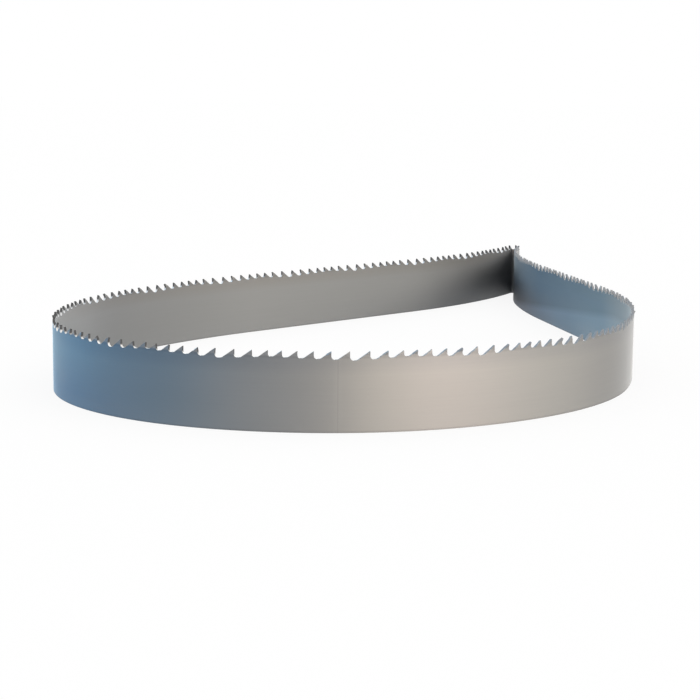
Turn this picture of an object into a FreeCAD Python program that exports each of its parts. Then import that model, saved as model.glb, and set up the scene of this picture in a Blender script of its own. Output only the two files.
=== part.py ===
"""Band saw blade: one welded loop of hardened steel band, standing on its back edge.

Millimetres, +Z up.  The teeth point up and the round front of the loop faces -Y.
Distance along the band is counted counter-clockwise seen from above, from the
middle of the sharp fold at the far end.  The teeth cut in that direction.
"""
import FreeCAD, Part
import math
import os

# the band
BAND_WIDTH = 34.0          # back edge to tooth tips
THICKNESS = 1.1
BACK_EDGE_BREAK = 0.2      # corners taken off along the back edge

# the centre line of the loop, counter-clockwise from the fold: arcs that turn by these
# degrees, left turns positive, with these radii at this length of loop, and a straight
# stretch before and after the front that closes the loop
LOOP_LENGTH = 1298.9       # once round; a longer loop has larger arcs of the same turns
FOLD_RADIUS = 3.0          # at the middle of the band; stays the same in a longer loop
FOLD_HEADING = 162.0       # degrees, way the band runs at the middle of the fold
LEFT_TURNS = [-20.5]
LEFT_RADII = [370.0]
FRONT_TURNS = [16.5, 36.5, 60.0, 46.0, 48.0, 26.0]
FRONT_RADII = [390.0, 186.0, 122.0, 135.0, 165.0, 310.0]
RIGHT_TURNS = [-8.0, -15.0]
RIGHT_RADII = [520.0, 270.0]
FULL_TURN = 360.0          # degrees

# the teeth: eight pitches, repeated round the loop
PITCHES = [8.5, 7.7, 6.8, 6.0, 6.5, 6.9, 7.3, 7.8]
FIRST_TIP = 699.4          # distance from the fold to a tip that opens a pattern
SHALLOW_GULLET = 2.5       # gullet depth at the closest pitch
DEEP_GULLET = 3.9          # gullet depth at the widest pitch
BACK_SLOPE = 35.0          # back of a tooth, degrees above the band's length
ROOT_SHARE = 0.3           # size of the root under the tooth front, as a share of the depth
SET_OFFSET = 0.35          # how far a set tooth leans out at its tip
SET_HEIGHT = 1.6           # from the tips down to the bend
SET_LAP = 0.3              # the lean of a set tooth is carried this far past it and below
SET_PATTERN = "OSIOIOSI"   # out, straight, in

# the cutters
OVER = 1.0                 # how far blank and cutters stand above the tips
SIDE_ROOM = 0.4            # how far cutters stand beside the widest tooth
END_ROOM = 0.2             # how far a cutter starts before the front that it squares off
FOLD_ROOM = 0.5            # gullets as near to the fold as this are bent with it
FOLD_STEP = 0.6            # longest stretch between two sections of a bent gullet
REACH = THICKNESS / 2 + SET_OFFSET + SIDE_ROOM   # half the width of a cutter

Z = FreeCAD.Vector(0, 0, 1)


def direction(heading):
    return FreeCAD.Vector(math.cos(heading), math.sin(heading), 0)


def polygon_face(corners):
    return Part.Face(Part.makePolygon(corners + corners[:1]))


def loop_arcs(growth):
    """The loop's arcs as (turn in radians, radius), None where it runs straight."""
    def arcs(turns, radii):
        return [(math.radians(turn), radius * growth) for turn, radius in zip(turns, radii)]

    turned = sum(LEFT_TURNS + FRONT_TURNS + RIGHT_TURNS)
    half_fold = [(math.radians(FULL_TURN - turned) / 2, FOLD_RADIUS)]
    return (half_fold + arcs(LEFT_TURNS, LEFT_RADII) + [None]
            + arcs(FRONT_TURNS, FRONT_RADII) + [None]
            + arcs(RIGHT_TURNS, RIGHT_RADII) + half_fold)


def straight_lengths(chain):
    """Lengths of the two straight stretches that bring the chain back to its start."""
    heading = math.radians(FOLD_HEADING)
    miss, ways = FreeCAD.Vector(0, 0, 0), []
    for piece in chain:
        if piece is None:
            ways.append(direction(heading))
            continue
        turn, radius = piece
        before = direction(heading + math.pi / 2)
        after = direction(heading + turn + math.pi / 2)
        miss += (before - after) * math.copysign(radius, turn)
        heading += turn
    a, b = ways
    cross = a.x * b.y - a.y * b.x
    return [(miss.y * b.x - miss.x * b.y) / cross, (miss.x * a.y - miss.y * a.x) / cross]


def loop_segments(growth):
    """The closed centre line as (turn in radians, radius or None, length)."""
    chain = loop_arcs(growth)
    straights = straight_lengths(chain)
    segments = []
    for piece in chain:
        if piece is None:
            segments.append((0.0, None, straights.pop(0)))
        else:
            turn, radius = piece
            segments.append((turn, radius, abs(turn) * radius))
    return segments


def loop_growth():
    """Factor on the radii that gives the loop its length, which grows evenly with them."""
    def length(growth):
        return sum(segment[2] for segment in loop_segments(growth))

    return (LOOP_LENGTH - length(0)) / (length(1) - length(0))


class CentreLine:
    """Where the middle of the band is, and which way it runs, by distance."""

    def __init__(self):
        self.stations = []
        point, heading, distance = FreeCAD.Vector(0, 0, 0), math.radians(FOLD_HEADING), 0.0
        for turn, radius, length in loop_segments(loop_growth()):
            station = (distance, point, heading, turn, radius, length)
            self.stations.append(station)
            point, heading = self.advance(station, length)
            distance += length
        self.length = distance
        self.fold_end = self.stations[0][5]

    @staticmethod
    def centre(station):
        _, point, heading, turn, radius, _ = station
        return point + direction(heading + math.pi / 2) * math.copysign(radius, turn)

    def advance(self, station, travel):
        _, point, heading, turn, radius, _ = station
        if radius is None:
            return point + direction(heading) * travel, heading
        signed = math.copysign(radius, turn)
        ahead = heading + travel / signed
        return self.centre(station) - direction(ahead + math.pi / 2) * signed, ahead

    def frame(self, distance):
        """Point, direction along the band and direction out of the loop."""
        distance %= self.length
        station = [s for s in self.stations if s[0] <= distance][-1]
        point, heading = self.advance(station, distance - station[0])
        return point, direction(heading), direction(heading - math.pi / 2)

    def on_fold(self, start, end):
        """Whether a stretch of the band touches the fold."""
        middle = (start + end) / 2 % self.length
        away = min(middle, self.length - middle)
        return away < self.fold_end + (end - start) / 2 + FOLD_ROOM


def blank(line):
    """The band before its teeth are cut: the section carried round the loop."""
    top, t, c = BAND_WIDTH + OVER, THICKNESS / 2, BACK_EDGE_BREAK
    section = [(c - t, 0), (t - c, 0), (t, c), (t, top), (-t, top), (-t, c)]
    parts = []
    for station in line.stations:
        _, point, heading, turn, radius, length = station
        outward = direction(heading - math.pi / 2)
        face = polygon_face([point + outward * u + Z * z for u, z in section])
        if radius is None:
            parts.append(face.extrude(direction(heading) * length))
        else:
            axis = Z * math.copysign(1, turn)
            parts.append(face.revolve(line.centre(station), axis, math.degrees(abs(turn))))
    return parts[0].fuse(parts[1:]).removeSplitter()


def gullet_outline(pitch):
    """Gullet from one tip to the next as (along, up) corners, open at the top.

    Upright tooth front, root, floor, then the back of the next tooth, which runs
    on past its tip so that neighbouring cutters overlap there.
    """
    share = (pitch - min(PITCHES)) / (max(PITCHES) - min(PITCHES))
    depth = SHALLOW_GULLET + share * (DEEP_GULLET - SHALLOW_GULLET)
    slope = math.tan(math.radians(BACK_SLOPE))
    floor, root = BAND_WIDTH - depth, depth * ROOT_SHARE
    return [(0.0, floor + root), (root, floor), (pitch - depth / slope, floor),
            (pitch + OVER / slope, BAND_WIDTH + OVER)]


def gullet_cutter(line, start, pitch):
    """Cutter for one gullet, square across the band at the gullet's middle.

    Its front wall is square across the band at the tip instead.
    """
    top = BAND_WIDTH + 2 * OVER
    corners = gullet_outline(pitch)
    steep = (corners[0][1] - corners[1][1]) / corners[1][0]
    corners[0] = (-END_ROOM, corners[0][1] + END_ROOM * steep)
    corners = [(-END_ROOM, top)] + corners + [(corners[-1][0], top)]
    point, along, outward = line.frame(start + pitch / 2)
    corner = point - along * (pitch / 2) - outward * REACH
    prism = polygon_face([corner + along * u + Z * z for u, z in corners])
    prism = prism.extrude(outward * 2 * REACH)
    point, along, outward = line.frame(start)
    sides = [(0, -2 * REACH), (2 * pitch, -2 * REACH), (2 * pitch, 2 * REACH), (0, 2 * REACH)]
    ahead = polygon_face([point + along * u + outward * v for u, v in sides])
    return prism.common(ahead.extrude(Z * (top + OVER)))


def wrapped_cutter(line, start, pitch):
    """The same gullet where the band is folded: its outline follows the bend."""
    corners = gullet_outline(pitch)
    fine = corners[:1]
    for (u0, z0), (u1, z1) in zip(corners, corners[1:]):
        steps = math.ceil((u1 - u0) / FOLD_STEP)
        fine += [(u0 + (u1 - u0) * i / steps, z0 + (z1 - z0) * i / steps)
                 for i in range(1, steps + 1)]
    sections = []
    for u, z in fine:
        point, _, outward = line.frame(start + u)
        low, high = point + Z * z, point + Z * (BAND_WIDTH + 2 * OVER)
        across = outward * REACH
        corners = [low - across, low + across, high + across, high - across, low - across]
        sections.append(Part.makePolygon(corners))
    return Part.makeLoft(sections, True, True)


def set_tooth(line, tip, side):
    """The metal that a tooth set to one side gains there and loses behind."""
    bend, high, t = BAND_WIDTH - SET_HEIGHT, BAND_WIDTH + OVER, THICKNESS / 2
    low = bend - SET_LAP
    lean = SET_OFFSET / SET_HEIGHT
    base = (BAND_WIDTH - low) / math.tan(math.radians(BACK_SLOPE))
    point, along, outward = line.frame(tip - base / 2)
    corner = point - along * (base / 2 + SET_LAP)
    length = along * (base + 2 * SET_LAP)

    def slab(section):
        face = polygon_face([corner + outward * (side * v) + Z * z for v, z in section])
        return face.extrude(length)

    sunk, risen = (low - bend) * lean, (high - bend) * lean
    gained = slab([(0, low), (t + sunk, low), (t + risen, high), (0, high)])
    lost = slab([(-t + sunk, low), (-t + risen, high), (-REACH, high), (-REACH, low)])
    return gained, lost


def tooth_tips(line):
    """Distance of every tip along the loop with the pitch that follows it."""
    patterns = max(1, round(line.length / sum(PITCHES)))
    scale = line.length / (patterns * sum(PITCHES))
    tips, distance = [], FIRST_TIP
    for pitch in PITCHES * patterns:
        tips.append((distance, pitch * scale))
        distance += pitch * scale
    return tips


def blade():
    line = CentreLine()
    tips = tooth_tips(line)
    gullets = []
    for start, pitch in tips:
        cutter = wrapped_cutter if line.on_fold(start, start + pitch) else gullet_cutter
        gullets.append(cutter(line, start, pitch))
    gains, losses = [], []
    for i, (tip, pitch) in enumerate(tips):
        side = {"O": 1, "I": -1, "S": 0}[SET_PATTERN[i % len(SET_PATTERN)]]
        if side and not line.on_fold(tip - pitch, tip + pitch):
            gained, lost = set_tooth(line, tip, side)
            gains.append(gained.cut([gullets[i - 1], gullets[i]]))
            losses.append(lost)
    whole = blank(line).cut(gullets).cut(losses).fuse(gains).removeSplitter()
    box = whole.optimalBoundingBox(False, False)
    whole.translate(FreeCAD.Vector(-(box.XMin + box.XMax) / 2, -(box.YMin + box.YMax) / 2, 0))
    return whole


if __name__ == "__main__":
    shape = blade()
    print("solids", len(shape.Solids), "valid", shape.isValid(), "volume", round(shape.Volume))
    os.makedirs("parts", exist_ok=True)
    shape.exportStep("parts/blade.step")
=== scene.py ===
"""Band saw blade: the toothed steel loop, its finish, and a plain white stage.

Metres, +Z up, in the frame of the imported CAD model.
"""
import math

import bmesh
import bpy
from bpy.props import FloatProperty, FloatVectorProperty, IntProperty, PointerProperty
from mathutils import Matrix, Vector


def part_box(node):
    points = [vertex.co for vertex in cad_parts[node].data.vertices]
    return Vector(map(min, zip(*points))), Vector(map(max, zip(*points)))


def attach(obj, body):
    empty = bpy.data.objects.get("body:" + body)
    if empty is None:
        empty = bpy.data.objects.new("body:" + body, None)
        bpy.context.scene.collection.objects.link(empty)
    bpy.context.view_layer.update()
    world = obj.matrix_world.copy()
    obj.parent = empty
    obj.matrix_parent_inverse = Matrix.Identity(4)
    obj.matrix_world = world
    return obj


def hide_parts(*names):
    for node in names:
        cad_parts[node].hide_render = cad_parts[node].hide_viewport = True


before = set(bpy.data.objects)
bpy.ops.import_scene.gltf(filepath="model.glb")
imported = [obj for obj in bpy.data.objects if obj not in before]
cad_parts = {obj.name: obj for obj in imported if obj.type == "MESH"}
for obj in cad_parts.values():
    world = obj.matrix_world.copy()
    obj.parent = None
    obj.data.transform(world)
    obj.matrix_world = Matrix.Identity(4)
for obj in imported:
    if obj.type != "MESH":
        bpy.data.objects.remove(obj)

bl_info = {
    "name": "Band saw blade",
    "version": (1, 0, 0),
    "blender": (4, 5, 0),
    "location": "View3D > Sidebar > Saw Blade",
    "description": "Makes a looped band saw blade with set teeth on a white stage",
    "category": "Add Mesh",
}

MM = 0.001

# centre line of the loop, counter-clockwise from the fold: arcs with their turns in
# degrees, left turns positive, and radii in mm, which grow with the length of the loop
LEFT_TURNS, LEFT_RADII = [-20.5], [370.0]
FRONT_TURNS = [16.5, 36.5, 60.0, 46.0, 48.0, 26.0]
FRONT_RADII = [390.0, 186.0, 122.0, 135.0, 165.0, 310.0]
RIGHT_TURNS, RIGHT_RADII = [-8.0, -15.0], [520.0, 270.0]
FULL_TURN = 360.0
FOLD_HEADING = 162.0            # way the band runs at the middle of the fold

# the teeth: pitches in mm from one tip to the next, and the way each tip leans
PITCHES = [8.5, 7.7, 6.8, 6.0, 6.5, 6.9, 7.3, 7.8]
SET_SIDES = "OSIOIOSI"          # out, straight, in
TIP_AFTER_WELD = 4.9            # from the weld to the tip that opens the pattern, mm
WELD = 694.5                    # distance from the fold to the weld, mm
INSIDE = 1.5                    # where the map of inner side and tooth backs begins, in lengths

# how the mesh is made
NEAR = 1e-6                     # what counts as one place, m
CLEARANCE = 1 * MM              # how far a gullet cutter stands past the band
FRONT_ROOT, BACK_ROOT = 0.42, 0.17              # roundings of a gullet's root, in its depth
FRONT_ROOT_PARTS, BACK_ROOT_PARTS = 7, 4
PLAIN_STRIP = 1.5 * MM          # plain band between the deepest root and the mesh line below it
BEND_WIDTH = 0.25 * MM          # mesh lines this far above and below the bend of the teeth
TIP_SLACK = 0.2 * MM            # reach of the set past a tooth's back
FOLD_SHARE, FOLD_COLUMNS = 1.15, 48             # stretch of close mesh columns, in folds
WELD_MERGE = 0.02 * MM
PATTERN_MERGE = 0.004 * MM
LONGEST_ARC = math.radians(30)  # between two control points of the loop's curve
CURVE_STEPS = 64
SMOOTH_ANGLE = math.radians(28)


class BladeSizes(bpy.types.PropertyGroup):
    """Sizes of the blade that a user may want to change."""
    length: FloatProperty(name="Loop length", description="Once round the loop",
                          default=1.2989, min=0.9, max=3.0, unit="LENGTH")
    width: FloatProperty(name="Band width", description="Back edge to tooth tips",
                         default=0.034, min=0.02, max=0.08, unit="LENGTH")
    thickness: FloatProperty(name="Thickness", description="Thickness of the band",
                             default=0.0011, min=0.0005, max=0.002, unit="LENGTH")
    back_edge_break: FloatProperty(name="Back edge", description="Rounding of the back edge's corners",
                                   default=0.0002, min=0.0, max=0.0005, unit="LENGTH")
    fold_radius: FloatProperty(name="Fold radius", description="Radius of the band at the fold",
                               default=0.003, min=0.002, max=0.02, unit="LENGTH")
    shallow_gullet: FloatProperty(name="Shallow gullet", description="Gullet depth at the closest pitch",
                                  default=0.0025, min=0.001, max=0.005, unit="LENGTH")
    deep_gullet: FloatProperty(name="Deep gullet", description="Gullet depth at the widest pitch",
                               default=0.0039, min=0.001, max=0.008, unit="LENGTH")
    back_slope: FloatProperty(name="Tooth back", description="Slope of a tooth's back above the band",
                              default=math.radians(35), min=0.3, max=1.0, subtype="ANGLE")
    set_offset: FloatProperty(name="Set", description="How far a set tooth leans out at its tip",
                              default=0.00035, min=0.0, max=0.001, unit="LENGTH")
    set_height: FloatProperty(name="Set height", description="From the tips down to the bend of the teeth",
                              default=0.0016, min=0.0005, max=0.004, unit="LENGTH")
    column: FloatProperty(name="Mesh column", description="Longest stretch of band between two mesh lines",
                          default=0.0014, min=0.0005, max=0.005, unit="LENGTH")


class SteelLook(bpy.types.PropertyGroup):
    """Colours and finish of the steel."""
    band: FloatVectorProperty(name="Rolled steel", description="Colour of the band's sides",
                              default=(0.37, 0.367, 0.363), size=3, min=0, max=1, subtype="COLOR")
    inner_band: FloatVectorProperty(name="Inner side", description="Colour of the loop's inner side",
                                    default=(0.356, 0.366, 0.377), size=3, min=0, max=1, subtype="COLOR")
    tooth_edge: FloatVectorProperty(name="Tooth edge", description="Colour of the strip with the teeth",
                                    default=(0.335, 0.335, 0.338), size=3, min=0, max=1, subtype="COLOR")
    # painted blue reflection on the inner side before the fold and low on the outer left
    painted_blue_reflection: FloatVectorProperty(name="Painted blue reflection", description="Colour of the inner side before the fold",
                               default=(0.136, 0.178, 0.26), size=3, min=0, max=1, subtype="COLOR")
    # tip and root paint a reflection on the tooth fronts: dark at the tips, a bright painted glint at the
    # roots
    tip: FloatVectorProperty(name="Painted dark tip", description="Colour of the gullets at the tips",
                             default=(0.10, 0.10, 0.10), size=3, min=0, max=1, subtype="COLOR")
    root: FloatVectorProperty(name="Painted root glint", description="Colour of the gullets at their roots",
                              default=(0.72, 0.72, 0.715), size=3, min=0, max=1, subtype="COLOR")
    tooth_back: FloatVectorProperty(name="Tooth back", description="Colour of the backs of the teeth",
                                    default=(0.23, 0.235, 0.245), size=3, min=0, max=1, subtype="COLOR")
    roughness: FloatProperty(name="Roughness", description="Mean roughness of the rolled sides",
                             default=0.58, min=0.1, max=1.0, subtype="FACTOR")
    tooth_roughness: FloatProperty(name="Tooth roughness", description="Roughness of the teeth's sides",
                                   default=0.38, min=0.1, max=1.0, subtype="FACTOR")
    tooth_tone: FloatProperty(name="Tooth tone", description="Tone of the hardened teeth beside the band",
                              default=0.68, min=0.2, max=1.2, subtype="FACTOR")
    # painted shade: the inner side darker than the outer, and darker still deep inside the fold
    inner_painted_shade: FloatProperty(name="Inner tone", description="Tone of the inner side beside the outer",
                              default=0.79, min=0.3, max=1.2, subtype="FACTOR")
    fold_shade: FloatProperty(name="Fold shade", description="Tone left deep inside the fold",
                              default=0.62, min=0.0, max=1.0, subtype="FACTOR")
    brushing: FloatProperty(name="Brushing", description="How much the grain stretches reflections",
                            default=0.95, min=0.0, max=1.0, subtype="FACTOR")


class StageLook(bpy.types.PropertyGroup):
    """Floor, light and camera."""
    floor: FloatVectorProperty(name="Floor", description="Colour of the floor",
                               default=(0.985, 0.985, 0.985), size=3, min=0, max=1, subtype="COLOR")
    paleness: FloatProperty(name="Paleness", description="How far the floor is kept white under shadows",
                            default=0.87, min=0.0, max=1.0, subtype="FACTOR")
    lens: FloatProperty(name="Lens", description="Focal length in millimetres",
                        default=90.0, min=20.0, max=200.0)
    eye: FloatVectorProperty(name="Camera place", description="Where the camera stands",
                             default=(-0.001719, -0.969916, 0.137696), size=3, unit="LENGTH")
    tilt: FloatProperty(name="Camera tilt", description="How far the camera looks down",
                        default=0.1446635, min=0.0, max=1.5, subtype="ANGLE")
    roll: FloatProperty(name="Camera roll", description="How far the camera leans",
                        default=0.0085711, min=-0.2, max=0.2, subtype="ANGLE")
    tent_radius: FloatProperty(name="Light tent", description="Radius of the light tent round the stage",
                               default=6.0, min=2.0, max=20.0, unit="LENGTH")
    tent_parts: IntProperty(name="Tent parts", description="Segments of the light tent",
                            default=48, min=12, max=128)


# The loop's centre line

def direction(heading):
    return Vector((math.cos(heading), math.sin(heading)))


def loop_arcs(growth, fold_radius):
    """The loop's arcs as (turn in radians, radius), None where it runs straight."""
    def arcs(turns, radii):
        return [(math.radians(turn), radius * MM * growth) for turn, radius in zip(turns, radii)]

    turned = sum(LEFT_TURNS + FRONT_TURNS + RIGHT_TURNS)
    half_fold = [(math.radians(FULL_TURN - turned) / 2, fold_radius)]
    return (half_fold + arcs(LEFT_TURNS, LEFT_RADII) + [None]
            + arcs(FRONT_TURNS, FRONT_RADII) + [None]
            + arcs(RIGHT_TURNS, RIGHT_RADII) + half_fold)


def straight_lengths(chain):
    """Lengths of the two straight stretches that bring the chain back to its start."""
    heading, miss, ways = math.radians(FOLD_HEADING), Vector((0, 0)), []
    for piece in chain:
        if piece is None:
            ways.append(direction(heading))
            continue
        turn, radius = piece
        change = direction(heading + math.pi / 2) - direction(heading + turn + math.pi / 2)
        miss += change * math.copysign(radius, turn)
        heading += turn
    a, b = ways
    cross = a.x * b.y - a.y * b.x
    return [(miss.y * b.x - miss.x * b.y) / cross, (miss.x * a.y - miss.y * a.x) / cross]


def loop_segments(growth, fold_radius):
    """The closed centre line as (signed radius or None, length)."""
    chain = loop_arcs(growth, fold_radius)
    straights = straight_lengths(chain)
    return [(None, straights.pop(0)) if piece is None
            else (math.copysign(piece[1], piece[0]), abs(piece[0]) * piece[1]) for piece in chain]


class CentreLine:
    """Middle of the band by distance in metres, counter-clockwise from the fold."""

    def __init__(self, length, fold_radius):
        reach = [sum(part for _, part in loop_segments(growth, fold_radius)) for growth in (0, 1)]
        growth = (length - reach[0]) / (reach[1] - reach[0])
        self.stations = []
        point, heading, distance = Vector((0, 0)), math.radians(FOLD_HEADING), 0.0
        for radius, part in loop_segments(growth, fold_radius):
            station = (distance, point, heading, radius, part)
            self.stations.append(station)
            point, heading = self.advance(station, part)
            distance += part
        self.length = distance
        self.half_fold = self.stations[0][4]

    @staticmethod
    def advance(station, travel):
        _, point, heading, radius, _ = station
        if radius is None:
            return point + direction(heading) * travel, heading
        ahead = heading + travel / radius
        centre = point + direction(heading + math.pi / 2) * radius
        return centre - direction(ahead + math.pi / 2) * radius, ahead

    def at(self, distance):
        """Point, heading and signed radius there."""
        distance %= self.length
        station = [s for s in self.stations if s[0] <= distance][-1]
        point, heading = self.advance(station, distance - station[0])
        return point, heading, station[3]

    def knots_from(self, start):
        """Distances of the curve's control points, beginning at start."""
        marks = [s[0] for s in self.stations]
        for distance, _, _, radius, length in self.stations:
            if radius is not None:
                parts = math.ceil(length / abs(radius) / LONGEST_ARC)
                marks += [distance + length * i / parts for i in range(1, parts)]
        return [start] + sorted((m - start) % self.length + start for m in marks
                                if abs((m - start) % self.length) > NEAR)


# Modelling helpers

def alone(piece):
    """Makes the piece the only selected and active object."""
    if bpy.context.mode != "OBJECT":
        bpy.ops.object.mode_set(mode="OBJECT")
    bpy.ops.object.select_all(action="DESELECT")
    piece.select_set(True)
    bpy.context.view_layer.objects.active = piece


def edit(piece, kind="VERT"):
    alone(piece)
    bpy.ops.object.mode_set(mode="EDIT")
    bpy.ops.mesh.select_mode(type=kind)


def pick(piece, test, kind="VERT"):
    """Selects the vertices, edges or faces of the edited piece that pass the test."""
    mesh = bmesh.from_edit_mesh(piece.data)
    items = {"VERT": mesh.verts, "EDGE": mesh.edges, "FACE": mesh.faces}[kind]
    bpy.ops.mesh.select_all(action="DESELECT")
    found = [item for item in items if test(item)]
    for item in found:
        item.select_set(True)
    bmesh.update_edit_mesh(piece.data)
    return len(found)


def block(low, high, name):
    """A box between two corners, with its place in its mesh."""
    middle = (Vector(low) + Vector(high)) / 2
    bpy.ops.object.select_all(action="DESELECT")
    bpy.ops.mesh.primitive_cube_add(size=1, location=middle)
    piece = bpy.context.object
    piece.name = name
    piece.scale = Vector(high) - Vector(low)
    bpy.ops.object.transform_apply(location=True, rotation=True, scale=True)
    return piece


def apply_modifier(piece, kind, **settings):
    alone(piece)
    modifier = piece.modifiers.new(kind.lower(), kind)
    for key, value in settings.items():
        setattr(modifier, key, value)
    bpy.ops.object.modifier_apply(modifier=modifier.name)


# The toothed band

def tooth_tips(length):
    """(place, pitch, side) of every tip of one pattern from one before the weld on."""
    patterns = round(length / (sum(PITCHES) * MM))
    scale = length / (patterns * sum(PITCHES))
    place = TIP_AFTER_WELD * MM - PITCHES[-1] * scale
    order = [len(PITCHES) - 1] + list(range(len(PITCHES)))
    tips = []
    for i in order:
        tips.append((place, PITCHES[i] * scale, SET_SIDES[i]))
        place += PITCHES[i] * scale
    return patterns, tips


def gullet_cutter(sizes, start, pitch):
    """What a milling cutter takes out between two tips, with its true round root."""
    share = (pitch / MM - min(PITCHES)) / (max(PITCHES) - min(PITCHES))
    depth = sizes.shallow_gullet + share * (sizes.deep_gullet - sizes.shallow_gullet)
    slope = math.tan(sizes.back_slope)
    floor, top, reach = sizes.width - depth, sizes.width + CLEARANCE, 2 * CLEARANCE
    end = start + pitch - depth / slope
    cutter = block((start, -reach, floor), (end, reach, top), "gullet_cutter")
    edit(cutter)
    pick(cutter, lambda v: v.co.x > end - NEAR and v.co.z > top - NEAR)
    bpy.ops.transform.translate(value=((top - floor) / slope, 0, 0))
    bpy.ops.mesh.select_mode(type="EDGE")

    def low_edge(x):
        return lambda e: all(abs(v.co.x - x) < NEAR and v.co.z < floor + NEAR for v in e.verts)

    pick(cutter, low_edge(start), "EDGE")
    bpy.ops.mesh.bevel(offset=FRONT_ROOT * depth, segments=FRONT_ROOT_PARTS, profile=0.5, affect="EDGES")
    pick(cutter, low_edge(end), "EDGE")
    bpy.ops.mesh.bevel(offset=BACK_ROOT * depth, segments=BACK_ROOT_PARTS, profile=0.5, affect="EDGES")
    bpy.ops.object.mode_set(mode="OBJECT")
    return cutter


def cut_line(piece, place, normal, test=None):
    """A mesh line across the edited piece, where its faces pass the test."""
    if test is None:
        bpy.ops.mesh.select_all(action="SELECT")
    elif not pick(piece, test, "FACE"):
        return
    bpy.ops.mesh.bisect(plane_co=place, plane_no=normal)


def plain_strip(sizes, run):
    """A flat piece of band without teeth, its back edge rounded."""
    half = sizes.thickness / 2
    piece = block((0, -half, 0), (run, half, sizes.width), "toothed_band")
    edit(piece, "EDGE")
    pick(piece, lambda e: all(v.co.z < NEAR for v in e.verts)
         and abs(e.verts[0].co.y - e.verts[1].co.y) < NEAR, "EDGE")
    bpy.ops.mesh.bevel(offset=sizes.back_edge_break, segments=2, profile=0.5, affect="EDGES")
    bpy.ops.object.mode_set(mode="OBJECT")
    return piece


def set_teeth(piece, sizes, run, tips):
    """Leans the teeth of the edited piece out and in, above the bend."""
    bend = sizes.width - sizes.set_height
    lean = math.atan(sizes.set_offset / sizes.set_height)
    reach = sizes.set_height / math.tan(sizes.back_slope) + TIP_SLACK
    bpy.ops.mesh.select_mode(type="VERT")
    for place, _, side in tips + [(run + tips[0][0], 0, tips[0][2])]:
        if side == "S":
            continue
        if pick(piece, lambda v: v.co.z > bend + NEAR and place - reach < v.co.x < place + NEAR):
            bpy.ops.transform.rotate(value=lean if side == "O" else -lean, orient_axis="X",
                                     center_override=(place, 0, bend))


def one_pattern(sizes, length):
    """Flat piece of band with one run of teeth, ready to be repeated."""
    patterns, tips = tooth_tips(length)
    run = length / patterns
    piece = plain_strip(sizes, run)
    for start, pitch, _ in tips:
        cutter = gullet_cutter(sizes, start, pitch)
        apply_modifier(piece, "BOOLEAN", operation="DIFFERENCE", solver="EXACT", object=cutter)
        bpy.data.objects.remove(cutter)
    edit(piece, "FACE")
    pick(piece, lambda f: abs(f.normal.x) > 0.99
         and (f.calc_center_median().x < NEAR or f.calc_center_median().x > run - NEAR), "FACE")
    bpy.ops.mesh.delete(type="FACE")
    columns = math.ceil(run / sizes.column)
    for i in range(1, columns):
        cut_line(piece, (run * i / columns, 0, 0), (1, 0, 0))
    bend = sizes.width - sizes.set_height
    plain = sizes.width - sizes.deep_gullet - PLAIN_STRIP
    for height in (plain, bend - BEND_WIDTH, bend, bend + BEND_WIDTH):
        cut_line(piece, (0, 0, height), (0, 0, 1))
    set_teeth(piece, sizes, run, tips)
    bpy.ops.object.mode_set(mode="OBJECT")
    return piece, run, patterns


def loop_curve(line, start):
    """The loop as a curve that the flat band is bent along, once round from start to start."""
    data = bpy.data.curves.new("loop_line", "CURVE")
    data.dimensions = "3D"
    data.twist_mode = "Z_UP"
    spline = data.splines.new("BEZIER")
    spline.resolution_u = CURVE_STEPS
    knots = line.knots_from(start)
    knots.append(knots[0] + line.length)
    spline.bezier_points.add(len(knots) - 1)
    for i, knot in enumerate(knots):
        before = knots[i - 1] if i else knots[-2] - line.length
        after = knots[i + 1] if i + 1 < len(knots) else knots[1] + line.length
        point, heading, _ = line.at(knot)
        bezier = spline.bezier_points[i]
        bezier.handle_left_type = bezier.handle_right_type = "FREE"
        bezier.co = (*point, 0)
        for side, other in (("handle_left", before), ("handle_right", after)):
            span = other - knot
            radius = line.at(knot + span / 2)[2]
            if radius is None:
                reach = span / 3
            else:
                reach = math.copysign(4 / 3 * math.tan(abs(span / radius) / 4) * abs(radius), span)
            setattr(bezier, side, (*(point + direction(heading) * reach), 0))
    curve = bpy.data.objects.new("loop_line", data)
    bpy.context.scene.collection.objects.link(curve)
    return curve


def map_band(mesh, sizes, length):
    """Marks the cut faces and maps the flat band.

    The outer side and the tooth fronts come first, the inner side and tooth backs after.
    """
    along = mesh.uv_layers.new(name="along_band")
    milled = sizes.width - sizes.deep_gullet - CLEARANCE
    for face in mesh.polygons:
        cut = face.center.z > milled and abs(face.normal.y) < 0.5
        face.material_index = int(cut)
        second = face.normal.x < 0.1 if cut else face.normal.y > 0.5
        sheet = INSIDE if second else 0
        for corner in face.loop_indices:
            place = mesh.vertices[mesh.loops[corner].vertex_index].co
            along.data[corner].uv = (place.x / length + sheet, place.z / sizes.width)


def bend_round(piece, line):
    """Bends the flat band along the loop and welds it to itself."""
    curve = loop_curve(line, WELD * MM)
    curve.data.use_stretch = True
    curve.data.use_deform_bounds = True
    apply_modifier(piece, "CURVE", object=curve, deform_axis="POS_X")
    bpy.data.objects.remove(curve)
    edit(piece)
    bpy.ops.mesh.select_all(action="SELECT")
    bpy.ops.mesh.remove_doubles(threshold=WELD_MERGE)
    bpy.ops.mesh.normals_make_consistent(inside=False)
    bpy.ops.object.mode_set(mode="OBJECT")
    bpy.ops.object.shade_smooth_by_angle(angle=SMOOTH_ANGLE)


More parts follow.
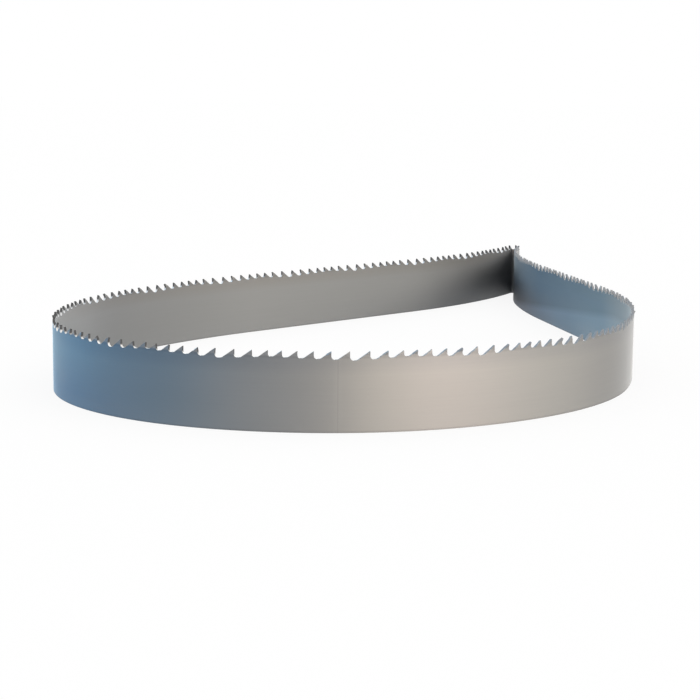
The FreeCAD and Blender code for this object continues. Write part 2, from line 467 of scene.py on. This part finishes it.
def toothed_band(sizes, sides, gullets):
    """The whole blade: patterns in a row, bent into the loop, over its plain solid.

    Its sides and its gullets each have a material.
    """
    line = CentreLine(sizes.length, sizes.fold_radius)
    piece, run, patterns = one_pattern(sizes, line.length)
    apply_modifier(piece, "ARRAY", count=patterns, use_relative_offset=False,
                   use_constant_offset=True, constant_offset_displace=(run, 0, 0),
                   use_merge_vertices=True, merge_threshold=PATTERN_MERGE)
    fold = line.length - WELD * MM
    reach = line.half_fold * FOLD_SHARE
    edit(piece, "FACE")
    for i in range(FOLD_COLUMNS + 1):
        x = fold - reach + 2 * reach * i / FOLD_COLUMNS
        cut_line(piece, (x, 0, 0), (1, 0, 0), lambda f: abs(f.calc_center_median().x - x) < 2 * MM)
    bpy.ops.object.mode_set(mode="OBJECT")

    mesh = piece.data
    mesh.materials.append(sides)
    mesh.materials.append(gullets)
    map_band(mesh, sizes, line.length)
    bend_round(piece, line)

    low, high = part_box("blade")
    corners = [v.co for v in mesh.vertices]
    lows = [min(c[i] for c in corners) for i in range(2)]
    highs = [max(c[i] for c in corners) for i in range(2)]
    shift = [(low[i] + high[i] - lows[i] - highs[i]) / 2 for i in range(2)]
    mesh.transform(Matrix.Translation((*shift, 0)))
    return piece


# Materials

# along the band from the weld, m
WELD_LINE = (0.12 * MM, 0.3 * MM)
WELD_HALO = (0.3 * MM, 2.4 * MM)

# down from the tips or up from the back edge, m
TOOTH_EDGE = (10 * MM, 5 * MM)
TOOTH_DARK = (3.4 * MM, 1.4 * MM)
TOOTH_FINISH = (2.4 * MM, 1.6 * MM)
# TIP_DARK: where the painted reflection on the tooth fronts goes from dark tips to glinting roots
TIP_DARK = (2.7 * MM, 1.9 * MM)
BACK_DARK = (0.3 * MM, 1.1 * MM)

# along the inner side past the fold, negative before it, m: painted shade and blue reflection
FOLD_GLOOM = (8 * MM, 60 * MM)
FOLD_DULL = (12 * MM, 60 * MM)
BLUE_REFLECTION = (-260 * MM, -80 * MM)
BLUE_REFLECTION_DIM = (-90 * MM, -330 * MM)
BLUE_REFLECTION_TOP = (-115 * MM, -50 * MM)       # its top grows dark with painted shade here
BLUE_REFLECTION_PALE = (-120 * MM, -210 * MM)
BLUE_REFLECTION_LINE = (-300 * MM, -60 * MM)      # the edge of the painted reflection, between its dim and its pale part, falls here
BLUE_REFLECTION_ENDS = (-330 * MM, -370 * MM)
FOLD_TEETH = (10 * MM, 16 * MM)         # from the middle of the teeth with painted shade
FOLD_TEETH_MIDDLE = 6 * MM

# on the stretch with the painted blue reflection, up from the back edge, m
DARK_TOP = (15 * MM, 26 * MM)
LINE_HEIGHT = (20 * MM, 1 * MM)
LINE_BLUR = (-2 * MM, 2 * MM)

# painted blue reflection along the outer side past the fold, m, and up from its back edge
TINT_BEGINS = (440 * MM, 490 * MM)
TINT_ENDS = (530 * MM, 610 * MM)
TINT_HEIGHT = (22 * MM, 6 * MM)

# noise runs mostly between these
NOISE = (0.3, 0.7)


def new_material(name):
    """An empty node material and the calls that fill it."""
    material = bpy.data.materials.new(name)
    material.use_nodes = True
    material.node_tree.nodes.clear()
    return material, Nodes(material.node_tree)


class Nodes:
    """Short calls for building a node tree."""

    def __init__(self, tree):
        self.tree = tree

    def add(self, kind, **settings):
        node = self.tree.nodes.new(kind)
        for key, value in settings.items():
            setattr(node, key, value)
        return node

    def feed(self, value, target):
        if isinstance(value, bpy.types.NodeSocket):
            self.tree.links.new(value, target)
        else:
            target.default_value = value

    def math(self, operation, *values):
        node = self.add("ShaderNodeMath", operation=operation)
        for value, target in zip(values, node.inputs):
            self.feed(value, target)
        return node.outputs[0]

    def remap(self, value, low, high, to_low, to_high):
        node = self.add("ShaderNodeMapRange")
        for given, target in zip((value, low, high, to_low, to_high), node.inputs):
            self.feed(given, target)
        return node.outputs["Result"]

    def times(self, a, b):
        return self.math("MULTIPLY", a, b)

    def noise(self, vector, stretch, detail):
        """Noise with so many patches to the metre along, up and across."""
        scaled = self.add("ShaderNodeVectorMath", operation="MULTIPLY")
        self.feed(vector, scaled.inputs[0])
        scaled.inputs[1].default_value = stretch
        node = self.add("ShaderNodeTexNoise")
        self.feed(scaled.outputs[0], node.inputs["Vector"])
        node.inputs["Scale"].default_value = 1.0
        node.inputs["Detail"].default_value = detail
        return node.outputs["Fac"]

    def grey(self, value):
        node = self.add("ShaderNodeCombineColor")
        for target in node.inputs[:3]:
            self.feed(value, target)
        return node.outputs[0]

    def mix(self, factor, a, b, blend="MIX"):
        node = self.add("ShaderNodeMix", data_type="RGBA", blend_type=blend)
        self.feed(factor, node.inputs["Factor"])
        self.feed(a, node.inputs["A"])
        self.feed(b, node.inputs["B"])
        return node.outputs["Result"]


def rolled_grain():
    """Group: streaks and cloudy patches of a rolled strip, from a place on the strip."""
    group = bpy.data.node_groups.new("rolled_grain", "ShaderNodeTree")
    for name, kind, way in (("Place", "Vector", "INPUT"), ("Streaks", "Float", "OUTPUT"),
                            ("Patches", "Float", "OUTPUT")):
        group.interface.new_socket(name=name, in_out=way, socket_type="NodeSocket" + kind)
    n = Nodes(group)
    place = n.add("NodeGroupInput").outputs["Place"]
    fine = n.noise(place, (60, 9000, 1), 2.0)
    broad = n.noise(place, (18, 900, 1), 3.0)
    patches = n.noise(place, (22, 55, 1), 3.0)
    out = n.add("NodeGroupOutput")
    n.feed(n.math("ADD", n.times(fine, 0.5), n.times(broad, 0.5)), out.inputs["Streaks"])
    n.feed(patches, out.inputs["Patches"])
    return group


class Strip:
    """Places on the flat band in metres, and its grain, for the nodes of one material."""

    def __init__(self, n, sizes):
        split = n.add("ShaderNodeSeparateXYZ")
        n.feed(n.add("ShaderNodeUVMap", uv_map="along_band").outputs["UV"], split.inputs[0])
        self.inside = n.math("GREATER_THAN", split.outputs["X"], (1 + INSIDE) / 2)
        share = n.math("SUBTRACT", split.outputs["X"], n.times(self.inside, INSIDE))
        self.x = n.times(share, sizes.length)
        self.z = n.times(split.outputs["Y"], sizes.width)
        self.below_tips = n.math("SUBTRACT", sizes.width, self.z)
        self.past_fold = n.math("SUBTRACT", self.x, sizes.length - WELD * MM)
        place = n.add("ShaderNodeCombineXYZ")
        for value, target in zip((self.x, self.z, self.inside), place.inputs):
            n.feed(value, target)
        group = n.add("ShaderNodeGroup")
        group.node_tree = bpy.data.node_groups.get("rolled_grain") or rolled_grain()
        n.feed(place.outputs[0], group.inputs["Place"])
        self.streaks, self.patches = group.outputs["Streaks"], group.outputs["Patches"]


def steel_shader(n, color, rough, height, relief):
    """The shader with a bump of that relief, plugged into the material."""
    bump = n.add("ShaderNodeBump")
    bump.inputs["Strength"].default_value = relief
    bump.inputs["Distance"].default_value = 0.01 * MM
    n.feed(height, bump.inputs["Height"])
    shader = n.add("ShaderNodeBsdfPrincipled")
    n.feed(color, shader.inputs["Base Color"])
    n.feed(rough, shader.inputs["Roughness"])
    n.feed(bump.outputs[0], shader.inputs["Normal"])
    out = n.add("ShaderNodeOutputMaterial")
    n.feed(shader.outputs[0], out.inputs["Surface"])
    return shader


def inner_painted_shade(n, strip, look):
    """Inner side's painted shade: gloom after the fold; before it a painted reflection with a dim and a
    pale part.
    """
    after = n.remap(strip.past_fold, *FOLD_GLOOM, look.fold_shade, look.inner_painted_shade)
    dim = n.times(n.remap(strip.past_fold, *BLUE_REFLECTION_DIM, 0.53, 0.70),
                  n.remap(strip.z, *DARK_TOP, 1, n.remap(strip.past_fold, *BLUE_REFLECTION_TOP, 1, 0.42)))
    pale = n.remap(strip.past_fold, *BLUE_REFLECTION_PALE, 1.2, 0.92)
    line = n.remap(strip.past_fold, *BLUE_REFLECTION_LINE, *LINE_HEIGHT)
    before = n.remap(n.math("SUBTRACT", strip.z, line), *LINE_BLUR, pale, dim)
    before = n.times(n.remap(strip.past_fold, *BLUE_REFLECTION_ENDS, before, 1), look.inner_painted_shade)
    is_before = n.math("LESS_THAN", strip.past_fold, 0)
    tone = n.math("ADD", n.times(is_before, before),
                  n.times(n.math("SUBTRACT", 1, is_before), after))
    return n.remap(strip.inside, 0, 1, 1, tone)


def blue_reflection_share(n, strip):
    """Share of painted blue reflection: inside before the fold, and faintly low on the outer left."""
    inner = n.times(n.times(strip.inside, n.math("LESS_THAN", strip.past_fold, 0)),
                    n.remap(strip.past_fold, *BLUE_REFLECTION, 0, 1))
    outer = n.times(n.remap(strip.past_fold, *TINT_BEGINS, 0, 0.5),
                    n.remap(strip.past_fold, *TINT_ENDS, 1, 0))
    outer = n.times(outer, n.remap(strip.z, *TINT_HEIGHT, 0, 1))
    return n.math("ADD", inner, n.times(outer, n.math("SUBTRACT", 1, strip.inside)))


def rolled_steel(look, sizes):
    """Brushed sides of the band: toothed edge, weld, painted shade inside the loop and the fold, and a
    painted blue reflection.
    """
    material, n = new_material("rolled_steel")
    strip = Strip(n, sizes)
    from_weld = n.math("MINIMUM", strip.x, n.math("SUBTRACT", sizes.length, strip.x))
    weld = n.remap(from_weld, *WELD_LINE, 1, 0)
    halo = n.remap(from_weld, *WELD_HALO, 1, 0)
    tooth = n.remap(strip.below_tips, *TOOTH_FINISH, 0, 1)

    sides = n.mix(strip.inside, (*look.band, 1), (*look.inner_band, 1))
    base = n.mix(n.remap(strip.below_tips, *TOOTH_EDGE, 0, 1), sides, (*look.tooth_edge, 1))
    # painted blue reflection mixed into the steel's colour
    base = n.mix(blue_reflection_share(n, strip), base, (*look.painted_blue_reflection, 1))
    tone = n.math("ADD", n.remap(strip.patches, *NOISE, 0.96, 1.03),
                  n.remap(strip.streaks, *NOISE, -0.035, 0.035))
    tone = n.math("SUBTRACT", tone, n.times(weld, 0.10))
    tone = n.math("ADD", tone, n.times(halo, 0.03))
    # painted shade and painted reflection on the inner side
    tone = n.times(tone, inner_painted_shade(n, strip, look))
    tone = n.times(tone, n.remap(strip.below_tips, *TOOTH_DARK, 1, look.tooth_tone))
    tone = n.times(tone, n.remap(strip.z, *BACK_DARK, 0.84, 1))
    color = n.mix(1.0, base, n.grey(tone), "MULTIPLY")

    rough = n.math("ADD", look.roughness, n.times(tooth, look.tooth_roughness - look.roughness))
    rough = n.math("ADD", rough, n.remap(strip.patches, *NOISE, -0.03, 0.03))
    rough = n.math("ADD", rough, n.remap(strip.streaks, *NOISE, -0.02, 0.02))
    height = n.math("ADD", strip.streaks, n.times(weld, -0.6))
    shader = steel_shader(n, color, rough, height, 0.18)
    shader.inputs["Anisotropic"].default_value = look.brushing
    shader.inputs["Anisotropic Rotation"].default_value = 0.25
    from_fold = n.math("ABSOLUTE", strip.past_fold)
    dull = n.times(strip.inside, n.remap(from_fold, *FOLD_DULL, 1, 0))
    dull = n.math("MAXIMUM", dull, n.times(tooth, 0.7))
    n.feed(n.remap(dull, 0, 1, 1, 0.35), shader.inputs["Metallic"])
    tangent = n.add("ShaderNodeTangent", direction_type="UV_MAP", uv_map="along_band")
    n.feed(tangent.outputs[0], shader.inputs["Tangent"])
    return material


def milled_steel(look, sizes):
    """Matt cut faces: tooth fronts with a painted dark reflection at the tips and painted glints at the
    roots, grey backs.
    """
    material, n = new_material("milled_steel")
    strip = Strip(n, sizes)
    # painted reflection: dark at the tips, painted glints at the roots
    darkened = n.remap(strip.below_tips, *TIP_DARK, 0, 1)
    front = n.mix(darkened, (*look.root, 1), (*look.tip, 1))
    color = n.mix(strip.inside, front, (*look.tooth_back, 1))
    # painted shade on the teeth inside the fold
    from_middle = n.math("ABSOLUTE", n.math("SUBTRACT", strip.past_fold, FOLD_TEETH_MIDDLE))
    shade = n.remap(from_middle, *FOLD_TEETH, look.fold_shade, 1)
    color = n.mix(1.0, color, n.grey(shade), "MULTIPLY")
    rough = n.remap(strip.streaks, *NOISE, 0.5, 0.6)
    shader = steel_shader(n, color, rough, strip.streaks, 0.3)
    shader.inputs["Metallic"].default_value = 0.1
    shader.inputs["Specular IOR Level"].default_value = 0.1
    return material


# The stage

# glow of the tent by the compass: degrees clockwise from +Y seen from above, colour
TENT_GLOW = [
    (-180, (1.55, 1.50, 1.45)),     # the camera's side
    (-150, (1.00, 1.10, 1.20)),
    (-120, (0.10, 0.62, 1.15)),
    (-90, (0.00, 0.70, 1.52)),      # blue card on the left
    (-45, (0.00, 1.52, 3.20)),
    (-26, (1.00, 2.80, 4.20)),
    (-10, (4.20, 4.90, 5.10)),
    (8, (4.40, 4.50, 4.50)),        # back
    (24, (4.40, 4.35, 4.20)),
    (48, (2.20, 2.10, 1.96)),
    (85, (3.90, 3.65, 3.20)),       # right
    (130, (5.80, 5.00, 4.40)),      # warm soft lamp at the right front
    (158, (4.15, 3.75, 3.20)),
    (180, (1.55, 1.50, 1.45)),
]
TENT_PEAK = 6.0
TENT_FOOT = 0.12                    # share of the glow left at the foot of the tent
TENT_ROOF = (1.8, 1.8, 1.8)
FOOT_RISE = (0.1, 0.26)             # sine of the height where the foot gives way to the wall
ROOF_RISE = (0.88, 0.97)            # and the wall to the roof
FLOOR_SIZE = 60.0
FLOOR_GAP = 0.02 * MM


def tent_material(radius):
    """Glow of the tent: round the compass, dark and grey at the foot, plain overhead."""
    material, n = new_material("tent_glow")
    split = n.add("ShaderNodeSeparateXYZ")
    n.feed(n.add("ShaderNodeTexCoord").outputs["Object"], split.inputs[0])
    turn = n.math("ARCTAN2", split.outputs["X"], split.outputs["Y"])
    ramp = n.add("ShaderNodeValToRGB")
    n.feed(n.remap(turn, -math.pi, math.pi, 0, 1), ramp.inputs["Fac"])
    ramp.color_ramp.interpolation = "EASE"
    stops = ramp.color_ramp.elements
    for i, (degrees, color) in enumerate(TENT_GLOW):
        place = (degrees + 180) / 360
        stop = stops[i] if i < 2 else stops.new(place)
        stop.position = place
        stop.color = (*[c / TENT_PEAK for c in color], 1)
    rise = n.math("DIVIDE", split.outputs["Z"], radius)
    foot = n.add("ShaderNodeHueSaturation")
    foot.inputs["Saturation"].default_value = 0.0
    foot.inputs["Value"].default_value = TENT_FOOT
    n.feed(ramp.outputs["Color"], foot.inputs["Color"])
    wall = n.mix(n.remap(rise, *FOOT_RISE, 0, 1), foot.outputs["Color"], ramp.outputs["Color"])
    roof = n.mix(n.remap(rise, *ROOF_RISE, 0, 1), wall, (*[c / TENT_PEAK for c in TENT_ROOF], 1))
    glow = n.add("ShaderNodeEmission")
    n.feed(roof, glow.inputs["Color"])
    glow.inputs["Strength"].default_value = TENT_PEAK
    out = n.add("ShaderNodeOutputMaterial")
    n.feed(glow.outputs[0], out.inputs["Surface"])
    return material


def floor_material(color, paleness):
    """White floor whose shadows are softened for what looks at it."""
    material, n = new_material("white_floor")
    surface = n.add("ShaderNodeBsdfDiffuse")
    surface.inputs["Color"].default_value = (*color, 1)
    glow = n.add("ShaderNodeEmission")
    glow.inputs["Strength"].default_value = 1.0
    rays = n.add("ShaderNodeLightPath")
    looks = rays.outputs["Is Camera Ray"]
    for other in ("Is Glossy Ray", "Is Transmission Ray"):
        looks = n.math("MAXIMUM", looks, rays.outputs[other])
    mix = n.add("ShaderNodeMixShader")
    n.feed(n.times(looks, paleness), mix.inputs["Fac"])
    n.feed(surface.outputs[0], mix.inputs[1])
    n.feed(glow.outputs[0], mix.inputs[2])
    out = n.add("ShaderNodeOutputMaterial")
    n.feed(mix.outputs[0], out.inputs["Surface"])
    return material


def white_floor(look):
    """A wide floor just under the back edge."""
    bpy.ops.object.select_all(action="DESELECT")
    bpy.ops.mesh.primitive_plane_add(size=FLOOR_SIZE, location=(0, 0, -FLOOR_GAP))
    floor = bpy.context.object
    floor.name = "floor"
    floor.data.materials.append(floor_material(look.floor, look.paleness))
    bpy.ops.object.transform_apply(location=True, rotation=True, scale=True)


def light_tent(look):
    """A dome that only reflections show."""
    bpy.ops.object.select_all(action="DESELECT")
    bpy.ops.mesh.primitive_uv_sphere_add(segments=look.tent_parts, ring_count=look.tent_parts // 2,
                                         radius=look.tent_radius)
    tent = bpy.context.object
    tent.name = "light_tent"
    edit(tent, "FACE")
    pick(tent, lambda f: f.calc_center_median().z < 0, "FACE")
    bpy.ops.mesh.delete(type="FACE")
    bpy.ops.object.mode_set(mode="OBJECT")
    tent.data.materials.append(tent_material(look.tent_radius))
    tent.visible_camera = False
    tent.visible_diffuse = False
    tent.visible_shadow = False


def white_room(scene):
    """Plain white light from all round."""
    world = bpy.data.worlds.new("white_room")
    world.use_nodes = True
    back = world.node_tree.nodes["Background"]
    back.inputs["Color"].default_value = (1, 1, 1, 1)
    back.inputs["Strength"].default_value = 1.0
    scene.world = world


def aim_camera(scene, look):
    """The camera in front of the loop, a little above it."""
    ahead = Vector((0, math.cos(look.tilt), -math.sin(look.tilt)))
    right = Vector((1, 0, 0))
    up = right.cross(ahead)
    c, s = math.cos(look.roll), math.sin(look.roll)
    axes = Matrix((right * c + up * s, up * c - right * s, -ahead)).transposed()
    data = bpy.data.cameras.new("camera")
    data.lens = look.lens
    data.sensor_width = 36.0
    data.clip_start = 0.01
    data.clip_end = 100.0
    camera = bpy.data.objects.new("camera", data)
    camera.matrix_world = Matrix.Translation(look.eye) @ axes.to_4x4()
    scene.collection.objects.link(camera)
    scene.camera = camera


# The add-on

class SAWBLADE_OT_band(bpy.types.Operator):
    """Makes the toothed band of the blade in place of its plain solid"""
    bl_idname = "sawblade.band"
    bl_label = "Make the toothed band"

    def execute(self, context):
        sizes, look = context.scene.blade_sizes, context.scene.steel_look
        piece = toothed_band(sizes, rolled_steel(look, sizes), milled_steel(look, sizes))
        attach(piece, "root")
        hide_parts("blade")
        return {"FINISHED"}


class SAWBLADE_OT_stage(bpy.types.Operator):
    """Makes the white floor, the light round it and the camera"""
    bl_idname = "sawblade.stage"
    bl_label = "Make the stage"

    def execute(self, context):
        scene, look = context.scene, context.scene.stage_look
        white_floor(look)
        light_tent(look)
        white_room(scene)
        aim_camera(scene, look)
        scene.view_settings.view_transform = "Standard"
        return {"FINISHED"}


class SAWBLADE_PT_panel(bpy.types.Panel):
    """Lists the blade's sizes, finish and steps"""
    bl_idname = "SAWBLADE_PT_panel"
    bl_label = "Band saw blade"
    bl_space_type = "VIEW_3D"
    bl_region_type = "UI"
    bl_category = "Saw Blade"

    def draw(self, context):
        for group in (context.scene.blade_sizes, context.scene.steel_look, context.scene.stage_look):
            box = self.layout.box()
            for name in group.bl_rna.properties.keys():
                if name not in {"rna_type", "name"}:
                    box.prop(group, name)
        for operator in (SAWBLADE_OT_band, SAWBLADE_OT_stage):
            self.layout.operator(operator.bl_idname)


CLASSES = (BladeSizes, SteelLook, StageLook, SAWBLADE_OT_band, SAWBLADE_OT_stage, SAWBLADE_PT_panel)


def register():
    for item in CLASSES:
        bpy.utils.register_class(item)
    bpy.types.Scene.blade_sizes = PointerProperty(type=BladeSizes)
    bpy.types.Scene.steel_look = PointerProperty(type=SteelLook)
    bpy.types.Scene.stage_look = PointerProperty(type=StageLook)


def unregister():
    del bpy.types.Scene.stage_look
    del bpy.types.Scene.steel_look
    del bpy.types.Scene.blade_sizes
    for item in reversed(CLASSES):
        bpy.utils.unregister_class(item)


def main():
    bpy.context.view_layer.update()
    register()
    bpy.ops.sawblade.band()
    bpy.ops.sawblade.stage()


if __name__ == "__main__":
    main()
